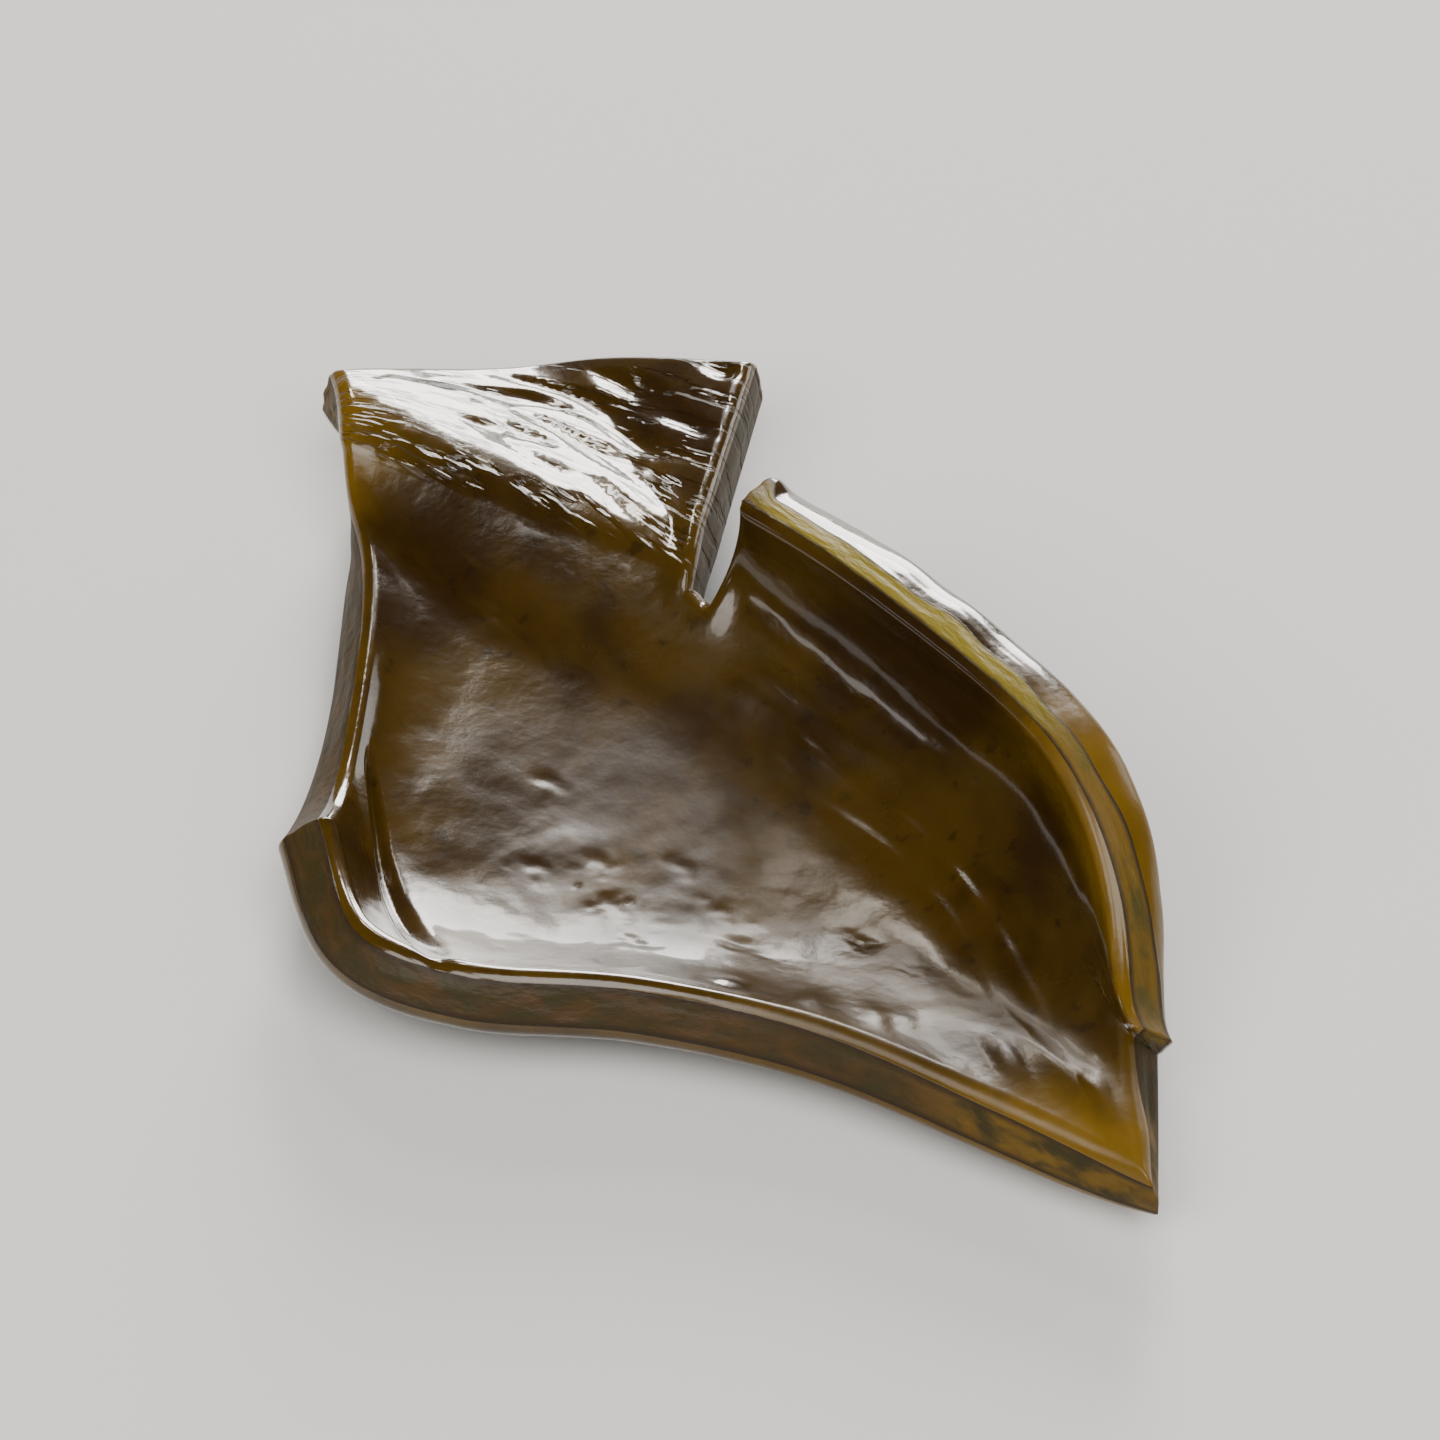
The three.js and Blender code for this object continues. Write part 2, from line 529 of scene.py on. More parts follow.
@dataclass(frozen=True)
class FineGrid:
    """The flat block of cells that is bent into the sheet."""

    form: SheetForm
    # Cells across the tongue, the slit and the flap, along the tray and beyond, and down a side.
    columns: tuple[int, int, int] = (66, 3, 121)
    rows: tuple[int, int] = (134, 56)
    wall_rows: int = 9
    edge_crowding: float = 0.55
    # Millimetres that the sheet counts for beyond the crease and half through, when laid flat.
    beyond_length: float = 6.0
    half_depth: float = 0.4
    tongue_start: Ramp = Ramp(0.0, 0.12)
    flap_blend: float = 0.06

    @staticmethod
    def select_none(element: Element) -> None:
        """Leaves nothing selected.

        Args:
            element: The kind of element that is picked next.
        """
        bpy.ops.object.mode_set(mode="EDIT")
        bpy.ops.mesh.select_mode(type=element.value)
        bpy.ops.mesh.select_all(action="DESELECT")
        bpy.ops.object.mode_set(mode="OBJECT")

    def open_slit(self, piece: bpy.types.Object) -> None:
        """Takes the cells of the slit out of the flat grid.

        Args:
            piece: The flat grid, one metre long and wide.
        """
        first, count, _ = self.columns
        self.select_none(Element.FACE)
        for face in piece.data.polygons:
            column = face.center.x * sum(self.columns)
            row = face.center.y * sum(self.rows)
            face.select = first < column < first + count and row > self.rows[0]
        bpy.ops.object.mode_set(mode="EDIT")
        bpy.ops.mesh.delete(type="FACE")

    def thicken(self, piece: bpy.types.Object) -> None:
        """Makes the flat grid a block one metre tall, and cuts its sides into rows.

        Args:
            piece: The flat grid, in edit mode.
        """
        bpy.ops.mesh.select_all(action="SELECT")
        bpy.ops.mesh.extrude_region_move(TRANSFORM_OT_translate={"value": (0.0, 0.0, 1.0)})
        self.select_none(Element.EDGE)
        heights = np.array([vertex.co.z for vertex in piece.data.vertices])
        for edge in piece.data.edges:
            low, high = heights[list(edge.vertices)]
            edge.select = bool(low != high)
        bpy.ops.object.mode_set(mode="EDIT")
        bpy.ops.mesh.subdivide(number_cuts=self.wall_rows - 1)
        bpy.ops.mesh.select_all(action="SELECT")
        bpy.ops.mesh.normals_make_consistent(inside=False)
        bpy.ops.object.mode_set(mode="OBJECT")

    def build(self, name: str) -> bpy.types.Object:
        """Makes the block.

        Args:
            name: Name of the piece and of its mesh.

        Returns:
            The block, one metre long, wide and tall.
        """
        bpy.ops.object.select_all(action="DESELECT")
        bpy.ops.mesh.primitive_grid_add(
            x_subdivisions=sum(self.columns),
            y_subdivisions=sum(self.rows),
            size=1.0,
            location=(0.5, 0.5, 0.0),
        )
        piece = bpy.context.object
        piece.name = piece.data.name = name
        bpy.ops.object.transform_apply(location=True, rotation=True, scale=True)
        self.open_slit(piece)
        self.thicken(piece)
        return piece

    def crowded_both(self, share: Array) -> Array:
        """Shares of a span, crowded towards both of its ends."""
        return share - self.edge_crowding * np.sin(2 * np.pi * share) / (2 * np.pi)

    def crowded_start(self, share: Array) -> Array:
        """Shares of a span, crowded towards its start."""
        return (1 - self.edge_crowding) * share + self.edge_crowding * share * share

    def line_shares(self) -> tuple[Array, Array]:
        """Where the grid's lines lie, crowded towards the cut edges.

        Returns:
            The shares across of the columns, and the shares along of the rows.
        """
        left, right = self.form.slit
        crease = self.form.crease
        tongue, slit, flap = (np.linspace(0.0, 1.0, count + 1) for count in self.columns)
        tray, beyond = (np.linspace(0.0, 1.0, count + 1) for count in self.rows)
        across = [
            left * self.crowded_both(tongue),
            left + (right - left) * slit[1:],
            right + (1 - right) * self.crowded_both(flap)[1:],
        ]
        along = [
            crease * self.crowded_start(tray),
            1 - (1 - crease) * self.crowded_start(beyond)[::-1][1:],
        ]
        return np.concatenate(across), np.concatenate(along)

    def rim_distances(self, across: Array, along: Array) -> tuple[Array, Array]:
        """How far each crossing of the grid's lines lies from the cut edges.

        Args:
            across: Shares across of the columns.
            along: Shares along of the rows.

        Returns:
            Millimetres from the nearest edge, and from the far edge, by column and row.
        """
        u, v = np.meshgrid(across, along, indexing="ij")
        sideways, forward = self.form.slopes(u, v)
        wide, deep = length(sideways), length(forward)
        square = length(np.cross(sideways, forward)) / (wide * deep)
        left, right = self.form.slit
        gaps = [u * wide, (1 - u) * wide, v * deep, (1 - v) * deep]
        to_slit = np.where(u < self.form.slit_middle, left - u, u - right) * wide
        before = np.where(v >= self.form.crease, 0.0, (self.form.crease - v) * deep)
        aside = np.where((u >= left) & (u <= right), 0.0, to_slit)
        gaps.append(np.hypot(aside, before))
        return np.minimum.reduce(gaps) * square, gaps[3] * square

    def places(self, piece: bpy.types.Object) -> SheetPlaces:
        """Reads where each vertex of the block belongs on the sheet.

        Args:
            piece: The block.

        Returns:
            The vertices' places.
        """
        form = self.form
        block = np.empty(len(piece.data.vertices) * 3)
        piece.data.vertices.foreach_get("co", block)
        block = block.reshape(-1, 3)
        column = np.rint(block[:, 0] * sum(self.columns)).astype(int)
        row = np.rint(block[:, 1] * sum(self.rows)).astype(int)
        lines_across, lines_along = self.line_shares()
        rim, far = self.rim_distances(lines_across, lines_along)
        across, along, depth = lines_across[column], lines_along[row], block[:, 2] * 2 - 1
        towards, past = form.parts(along)
        near, crease, reach = form.span(across)
        tangent = form.crease_line.tangent(across)
        out = np.stack([-tangent[:, 1], tangent[:, 0]], -1)
        plan = near + (crease - near) * towards[:, None]
        plan = plan + out * (past * self.beyond_length)[:, None]
        on_tongue = across < form.slit_middle
        return SheetPlaces(
            across=across,
            along=along,
            towards=towards,
            past=past,
            depth=depth,
            rim=rim[column, row],
            far=far[column, row],
            from_near=towards * reach + past * self.beyond_length,
            from_crease=(towards - 1) * reach + past * form.flap_length,
            tongue=np.where(on_tongue, self.tongue_start.at(past), 0.0),
            flap=Ramp(form.slit[0], form.slit[0] + self.flap_blend).at(across),
            flat=np.concatenate([plan, (depth * self.half_depth)[:, None]], -1),
        )


@dataclass(frozen=True)
class Rims:
    """The rounded rims of the slice, and the far rim of the flap, whose back is worn thin."""

    form: SheetForm
    radius: float = 0.42
    steepest: float = 0.98
    under: float = -0.5
    worn_reach: float = 0.5
    worn_slope: float = 1.5
    worn_start: float = 0.02
    worn_end: Ramp = Ramp(0.8, 0.97)
    worn_grain: Grain = Grain((2.2, 2.2, 20.0), 51.0, 0.22)

    def faces(self, at: SheetPlaces) -> tuple[Array, Array]:
        """Heights of the two faces over the middle of the sheet.

        Args:
            at: The vertices' places.

        Returns:
            The lower face's heights and the upper one's, in millimetres.
        """
        inside = np.minimum(np.clip(1 - at.rim / self.radius, 0.0, 1.0), self.steepest)
        upper = self.form.thickness / 2 - self.radius * (1 - np.sqrt(1 - inside**2))
        slit_end = self.form.slit[1]
        on_flap = Ramp(slit_end, slit_end + self.worn_start).at(at.across)
        on_flap = on_flap * (1 - self.worn_end.at(at.across))
        reach = self.worn_reach * (1 + self.worn_grain.at(at.flat))
        worn = np.maximum(0.0, reach - at.far) * self.worn_slope * on_flap
        return np.hypot(worn, self.radius / 2) - self.radius / 2 - upper, upper

    def bent(self, at: SheetPlaces) -> Array:
        """Bends the block into the sheet, down to the low points of its belly.

        Args:
            at: The vertices' places.

        Returns:
            One (x, y, z) row in millimetres for each vertex.
        """
        form = self.form
        lower, upper = self.faces(at)
        height = lower + (upper - lower) * (at.depth + 1) / 2
        points = form.middle(at.across, at.along)
        points = points + form.upward(at.across, at.along) * height[:, None]
        under = at.depth < self.under
        for centre in form.middle(*np.array(form.low_points).T):
            distance = length(points[:, :2] - centre[:2])
            share = np.clip(distance / form.swelling_radius, 0.0, 1.0)
            points[:, 2] *= np.where(under, 1 - np.cos(share * np.pi / 2) ** 2, 1.0)
        return points


@dataclass(frozen=True)
class Relief:
    """The fine forms of the skin and of the cut faces, in millimetres."""

    form: SheetForm
    skin_depth: float = 0.99
    off_rim: Ramp = Ramp(0.0, 1.2)

    # The tray: swellings, dimples and pores, of which there are more in its middle.
    swell: Grain = Grain(4.5, 3.1, 0.07)
    dimples: Grain = Grain(1.5, 17.7, 0.035)
    pores: Grain = Grain(0.62, 41.3, 0.010)
    rough_patch: Patch = Patch((0.42, 0.42), (0.22, 0.24))
    dimple_share: float = 0.35
    pore_share: float = 0.4
    pore_gain: float = 1.2

    # The dish in the tray, by millimetres, and the fuller right end, by shares.
    dish: Patch = Patch((-0.4, -2.0), (6.3, 6.3))
    dish_depth: float = 0.50
    filling: Patch = Patch((0.86, 0.38), (0.13, 0.25))
    fill_height: float = 0.5

    # Furrows on the tongue, and folds on the inside of the flap with the height of each.
    furrows: Grain = Grain((2.6, 0.62, 1.0), 7.9)
    furrow_angle: float = -0.85
    furrow_start: float = 0.12
    furrow_depth: float = 0.32
    furrow_growing: Ramp = Ramp(0.15, 0.6)
    folds: tuple[tuple[float, Stripe], ...] = (
        (0.10, Stripe(-0.7, 0.22)),
        (0.13, Stripe(-1.6, 0.22)),
        (0.06, Stripe(-2.6, 0.22)),
    )
    fold_wander: Grain = Grain(4.0, 5.5, 0.22)
    fold_grain: Grain = Grain(2.2, 8.8)
    fold_share: float = 0.7
    fold_zone: Zone = Zone(across=Window(Ramp(17 / 48, 0.42), Ramp(0.86, 0.74)))

    # Puckers along the near lip and at the tail of the flap.
    puckers: Grain = Grain((0.95, 2.375, 0.95), 23.9, 0.18)
    lip_zone: Zone = Zone(from_near=Stripe(1.15, 0.5), across=Ramp(0.35, 0.6))
    tail_zone: Zone = Zone(across=Stripe(0.95, 0.05), towards=Ramp(0.55, 0.8))

    # The fold across the near left corner, from one pair of shares to another.
    corner_start: Pair = (0.085, 0.26)
    corner_end: Pair = (0.25, 0.07)
    corner_groove: Stripe = Stripe(0.0, 0.02)
    corner_zone: Zone = Zone(across=Window(Ramp(0.03, 0.085), Ramp(0.37, 0.20)))
    corner_depth: float = 0.35

    # Uneven pits, by shares across and towards the crease.
    pits: tuple[Pair, ...] = (
        *((0.17, 0.83), (0.45, 0.22), (0.49, 0.40), (0.28, 0.55), (0.36, 0.43)),
        *((0.43, 0.48), (0.40, 0.34), (0.31, 0.37), (0.53, 0.31), (0.62, 0.46)),
    )
    pit_reach: Pair = (0.408, 0.24)
    pit_turn: float = -0.6
    pit_depth: float = 0.075
    pit_grain: Grain = Grain(0.4, 71.0, 0.6)

    # The underside and the cut faces.
    wrinkles: Grain = Grain((1.3, 5.0, 1.0), 61.0, 0.06)
    under_grain: Grain = Grain(0.8, 11.0, 0.014)
    layers: Grain = Grain((1.7, 1.7, 0.22667), 29.0, 0.045)
    wall_bulge: float = 0.05

    def tray_forms(self, at: SheetPlaces, pores: Array) -> Array:
        """The tray's rough skin and its dish, between the cut edges.

        Args:
            at: The vertices' places.
            pores: The pores' heights.

        Returns:
            One height for each vertex.
        """
        patch = self.rough_patch.at(at.across, at.towards)
        rough = self.swell.at(at.flat) + self.dimples.at(at.flat) * (self.dimple_share + patch)
        rough = rough + pores * (self.pore_share + self.pore_gain * patch)
        return rough - self.dish_depth * self.dish.at(at.flat[:, 0], at.flat[:, 1])

    def furrow_forms(self, at: SheetPlaces) -> Array:
        """The furrows of the tongue."""
        furrows = self.furrows.at(turned(at.flat, self.furrow_angle)) - self.furrow_start
        growing = self.furrow_growing.at(at.across / self.form.slit[0])
        return -np.maximum(0.0, furrows) * self.furrow_depth * growing

    def fold_forms(self, at: SheetPlaces) -> Array:
        """The folds on the inside of the flap."""
        place = at.from_crease + self.fold_wander.at(at.flat)
        ridges = sum(height * fold.at(place) for height, fold in self.folds)
        return self.fold_zone.at(at) * ridges * (self.fold_share + self.fold_grain.at(at.flat))

    def pucker_forms(self, at: SheetPlaces) -> Array:
        """The puckers along the near lip and at the tail of the flap."""
        where = self.lip_zone.at(at) + self.tail_zone.at(at) * (1 - at.past)
        return where * np.maximum(0.0, self.puckers.at(at.flat))

    def corner_fold(self, at: SheetPlaces) -> Array:
        """The groove of the fold across the near left corner.

        Args:
            at: The vertices' places.

        Returns:
            One depth for each vertex.
        """
        (u0, t0), (u1, t1) = self.corner_start, self.corner_end
        side = (at.across - u0) * (t1 - t0) - (at.towards - t0) * (u1 - u0)
        groove = self.corner_groove.at(side / math.hypot(u1 - u0, t1 - t0))
        return groove * self.corner_zone.at(at) * self.corner_depth

    def pitting(self, at: SheetPlaces) -> Array:
        """The small pits in the tray.

        Args:
            at: The vertices' places.

        Returns:
            One depth for each vertex.
        """
        uneven = 1 + self.pit_grain.at(at.flat)
        depth = np.zeros(len(at.across))
        for across, towards in self.pits:
            near, crease, _ = self.form.span(np.array([across]))
            pit = near[0] + (crease[0] - near[0]) * towards
            off = length(turned(at.flat[:, :2] - pit, self.pit_turn) / np.array(self.pit_reach))
            depth += self.pit_depth * np.exp(-((off * uneven) ** 2))
        return depth

    def cut_forms(self, at: SheetPlaces) -> Array:
        """The bulge and the uneven layers of the cut faces."""
        bulge = (1 - at.depth**2) * self.wall_bulge
        return bulge + self.layers.at(at.flat) * (1 - at.depth**4)

    def height(self, at: SheetPlaces, off_floor: Array) -> Array:
        """All the fine forms, to be moved along the vertices' own directions.

        Args:
            at: The vertices' places.
            off_floor: 0 where the underside stands on the floor, and 1 well above it.

        Returns:
            One height in millimetres for each vertex.
        """
        upper, lower = at.depth > self.skin_depth, at.depth < -self.skin_depth
        off_rim = self.off_rim.at(at.rim)
        pores = self.pores.at(at.flat)
        tray = self.fill_height * self.filling.at(at.across, at.towards)
        tray = tray - self.corner_fold(at) - self.pitting(at)
        tray = tray + off_rim * self.tray_forms(at, pores)
        tongue = at.tongue * off_rim * (self.furrow_forms(at) + pores)
        skin = (1 - at.past) * tray + tongue + self.fold_forms(at) + self.pucker_forms(at)
        under = off_rim * (self.wrinkles.at(at.flat) + self.under_grain.at(at.flat)) * off_floor
        return np.where(upper, skin, np.where(lower, under, self.cut_forms(at)))


@dataclass(frozen=True)
class SkinZones:
    """Where glow is painted on the skin, and where it is wet or dull, for the finish to follow."""

    # Painted glow, for light shining through thin kelp: two thin corners of the tray, the rims, and
    # the tail of the flap.
    near_corner: Patch = Patch((1.0, 0.0), (0.17, 0.3091))
    near_painted_glow: float = 0.95
    far_corner: Patch = Patch((0.0, 1.0), (0.0818, 0.1309))
    far_painted_glow: float = 0.6
    rim_fade: float = 0.5
    rim_painted_glow: float = 0.5
    tail: Zone = Zone(past=Ramp(0.3, 0.9), across=Ramp(0.56, 0.74))
    tail_painted_glow: float = 0.9

    # The tray: its soft middle, its inner part with little film, and the band of shine.
    tray: Ramp = Ramp(0.05, 0.0)
    middle: Patch = Patch((-0.4, -2.0), (5.5255, 5.5255))
    inner: Zone = Zone(
        from_near=Ramp(1.9, 4.2), across=Ramp(0.05, 0.16), from_crease=Ramp(-0.2, -1.2)
    )
    inner_dull: float = 0.2
    inner_dry: float = 0.95
    band: Zone = Zone(
        from_near=Stripe(2.6, 1.5), across=Window(Ramp(0.12, 0.3), Ramp(0.65, 0.5))
    )
    band_dull: float = 0.35

    # The ends of the tray and of the flap, which shine less.
    right: Zone = Zone(across=Ramp(0.50, 0.68), from_near=Ramp(6.0, 3.0))
    right_dull: float = 0.5
    left: Zone = Zone(across=Ramp(0.22, 0.12), towards=Ramp(0.35, 0.55))
    left_dull: float = 0.1
    flap: Zone = Zone(past=Ramp(0.5, 0.8), across=Ramp(0.60, 0.70))
    flap_dull: float = 0.4
    flap_dry: float = 0.5
    end_dry: float = 0.9

    # The flap's cut face, painted pale for the back light falling on and through it; the painted
    # light fades towards its tail.
    pale: Ramp = Ramp(0.1, 0.8)
    painted_light_end: Ramp = Ramp(0.58, 0.78)
    painted_light_loss: float = 0.8

    def amber(self, at: SheetPlaces) -> Array:
        """Where glow is painted, for the light shining through kelp this thin.

        Args:
            at: The vertices' places.

        Returns:
            One share for each vertex.
        """
        amber = self.near_painted_glow * self.near_corner.at(at.across, at.along)
        amber = amber + self.far_painted_glow * self.far_corner.at(at.across, at.towards)
        amber = amber + self.tail_painted_glow * self.tail.at(at) * at.flap
        rims = (1 - at.flap * at.past) * np.exp(-at.rim / self.rim_fade)
        return np.clip(amber + self.rim_painted_glow * rims, 0.0, 1.0)

    def shine(self, at: SheetPlaces) -> tuple[Array, Array]:
        """Where the skin is dull, and where a film of sauce lies on it.

        Args:
            at: The vertices' places.

        Returns:
            One share of dullness and one of wetness for each vertex.
        """
        tray, inner, flap = self.tray.at(at.past), self.inner.at(at), self.flap.at(at) * at.flap
        right, left = self.right.at(at), self.left.at(at)
        soft = np.hypot(self.middle.at(at.flat[:, 0], at.flat[:, 1]), self.inner_dull * inner)
        soft = np.clip(np.hypot(soft, self.band.at(at) * self.band_dull), 0.0, 1.0)
        ends = tray * np.maximum(self.right_dull * right, self.left_dull * left)
        dry = tray * np.maximum(right, left) + self.flap_dry * flap
        wet = (1 - self.inner_dry * tray * inner) * (1 - self.end_dry * dry)
        return np.maximum(tray * soft, ends + self.flap_dull * flap), wet

    def traits(self, at: SheetPlaces) -> dict[Trait, Array]:
        """All that the finish follows.

        Args:
            at: The vertices' places.

        Returns:
            The values of each trait.
        """
        dull, wet = self.shine(at)
        # painted light on the flap's cut face, for the back light on it, fading towards its tail
        pale = self.pale.at(at.past) * (1 - self.painted_light_loss * self.painted_light_end.at(at.across))
        return {
            Trait.PAINTED_GLOW: self.amber(at),
            Trait.PAINTED_FLAP_LIGHT: pale,
            Trait.DEPTH: at.depth,
            Trait.DULL: dull,
            Trait.FLAP: at.flap,
            Trait.SHEET: at.flat,
            Trait.TONGUE: at.tongue,
            Trait.WET: wet,
        }


class Value:
    """A number that changes over a surface, whose operators add Math nodes."""

    def __init__(self, tree: "Tree", socket: bpy.types.NodeSocket) -> None:
        """Keeps the socket that gives the number."""
        self.tree = tree
        self.socket = socket

    def math(self, operation: Operation, *others: "Value | float") -> "Value":
        """A Math node on this number and the others."""
        inputs = dict(enumerate((self, *others)))
        return self.tree.add("ShaderNodeMath", {"operation": operation.value}, inputs)

    def __add__(self, other: "Value | float") -> "Value":
        """Sum."""
        return self.math(Operation.ADD, other)

    __radd__ = __add__

    def __mul__(self, other: "Value | float") -> "Value":
        """Product."""
        return self.math(Operation.MULTIPLY, other)

    __rmul__ = __mul__

    def __sub__(self, other: "Value | float") -> "Value":
        """Difference."""
        return self.math(Operation.SUBTRACT, other)

    def __rsub__(self, other: float) -> "Value":
        """Difference, the other way round."""
        return self.math(Operation.MULTIPLY, -1.0) + other

    def ramp(self, ramp: Ramp) -> "Value":
        """Share of the way up a smooth ramp."""
        inputs = {"Value": self, "From Min": ramp.start, "From Max": ramp.end}
        return self.tree.add("ShaderNodeMapRange", {"interpolation_type": "SMOOTHSTEP"}, inputs)


@dataclass(frozen=True)
class Speckle:
    """One noise of a finish.

    Args:
        size: Width of one blotch, as one number or one for each direction, in its places' units.
        detail: How many finer layers it has.
        warp: How much it is distorted.
        turn: Turn of its directions about Z, in radians.
        ramp: Where its blotches start and are full, if they are cut out.
        share: What it is multiplied by in the end.
    """

    size: float | Triple
    detail: float = 2.0
    warp: float = 0.0
    turn: float = 0.0
    ramp: Ramp | None = None
    share: float = 1.0


class Tree:
    """A material's nodes, added one call at a time."""

    def __init__(self, material: bpy.types.Material) -> None:
        """Empties the material's tree.

        Args:
            material: The material that it belongs to.
        """
        material.use_nodes = True
        self.nodes = material.node_tree.nodes
        self.links = material.node_tree.links
        self.nodes.clear()

    def node(self, kind: str, settings: dict[str, object], inputs: dict) -> bpy.types.Node:
        """Adds one node.

        Args:
            kind: The node's type.
            settings: Its own settings, set first.
            inputs: The values or links of its sockets, by name or number.

        Returns:
            The node.
        """
        node = self.nodes.new(kind)
        for name, setting in settings.items():
            setattr(node, name, setting)
        for name, value in inputs.items():
            if isinstance(value, Value):
                self.links.new(value.socket, node.inputs[name])
            else:
                node.inputs[name].default_value = value
        return node

    def add(
        self, kind: str, settings: dict[str, object], inputs: dict, output: int | str = 0
    ) -> Value:
        """One output of a new node, as a value."""
        return Value(self, self.node(kind, settings, inputs).outputs[output])

    def surface(self, inputs: dict) -> None:
        """Makes a Principled shader with these inputs the material's surface."""
        shader = self.add("ShaderNodeBsdfPrincipled", {}, inputs)
        self.node("ShaderNodeOutputMaterial", {}, {"Surface": shader})

    def place(self) -> Value:
        """Places on the object, in metres."""
        return self.add("ShaderNodeTexCoord", {}, {}, "Object")

    def trait(self, trait: Trait, output: str = "Fac") -> Value:
        """One of the piece's own attributes."""
        return self.add("ShaderNodeAttribute", {"attribute_name": trait.value}, {}, output)

    def noise(self, places: Value, look: Speckle) -> Value:
        """Noise over the surface.

        Args:
            places: Where each point lies.
            look: The noise's size, detail, direction and strength.

        Returns:
            The noise.
        """
        size = look.size
        if isinstance(size, tuple):
            inputs = {"Vector": places, "Scale": size, "Rotation": (0.0, 0.0, look.turn)}
            places = self.add("ShaderNodeMapping", {"vector_type": "TEXTURE"}, inputs)
            size = 1.0
        inputs = {"Vector": places, "Scale": 1.0 / size}
        inputs |= {"Detail": look.detail, "Distortion": look.warp}
        grain = self.add("ShaderNodeTexNoise", {"noise_dimensions": "3D"}, inputs)
        return (grain.ramp(look.ramp) if look.ramp else grain) * look.share

    def mix(self, share: Value, first: Value | Colour, second: Value | Colour) -> Value:
        """A colour between two, by a share."""
        settings = {"data_type": "RGBA", "clamp_factor": True}
        return self.add("ShaderNodeMix", settings, {0: share, 6: first, 7: second}, 2)


